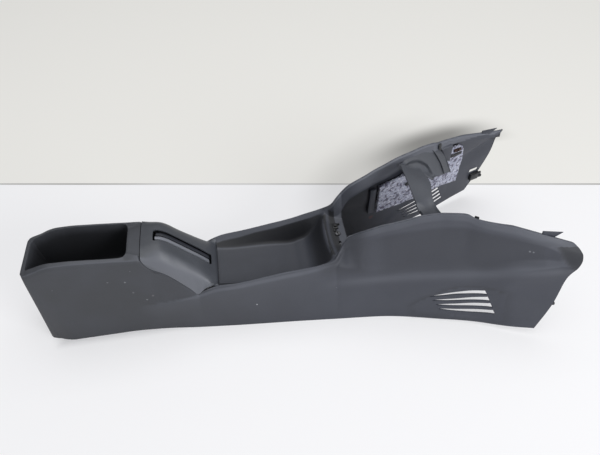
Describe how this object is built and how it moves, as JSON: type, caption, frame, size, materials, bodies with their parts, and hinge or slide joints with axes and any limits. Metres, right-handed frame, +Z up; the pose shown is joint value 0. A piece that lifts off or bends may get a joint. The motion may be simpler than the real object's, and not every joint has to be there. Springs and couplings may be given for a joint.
{
  "type": "car center console",
  "caption": "Long moulded car center console with a rear bin, a brake lever slot trim, an open tray, and two flared cheeks joined by an arched crossbar over the shifter opening.",
  "frame": {"origin": "middle of the length and width, on the plane that the lower edges rest on", "axes": "+X toward the front end with the two cheeks, +Y toward the cheek that is farther in the picture, +Z up"},
  "size_m": [0.9778, 0.398, 0.2525],
  "materials": {
    "console_body": "grained charcoal",
    "brake_trim": "grained charcoal",
    "slot_lip": "smooth charcoal",
    "felt": "flecked grey felt",
    "black_clip": "black",
    "nut_clip": "dark plated",
    "screw": "zinc plated"
  },
  "bodies": {
    "root": {"console_body": "console_body", "brake_trim": "brake_trim", "slot_lip_near": "slot_lip", "slot_lip_far": "slot_lip", "felt_pad_near": "felt", "felt_pad_far": "felt", "felt_pin_near": "black_clip", "felt_pin_far": "black_clip", "edge_clip_near": "black_clip", "edge_clip_far": "black_clip", "top_clip_near": "black_clip", "top_clip_far": "black_clip", "nut_clip_near": "nut_clip", "nut_clip_far": "nut_clip", "flange_screw": "screw"}
  },
  "joints": []
}
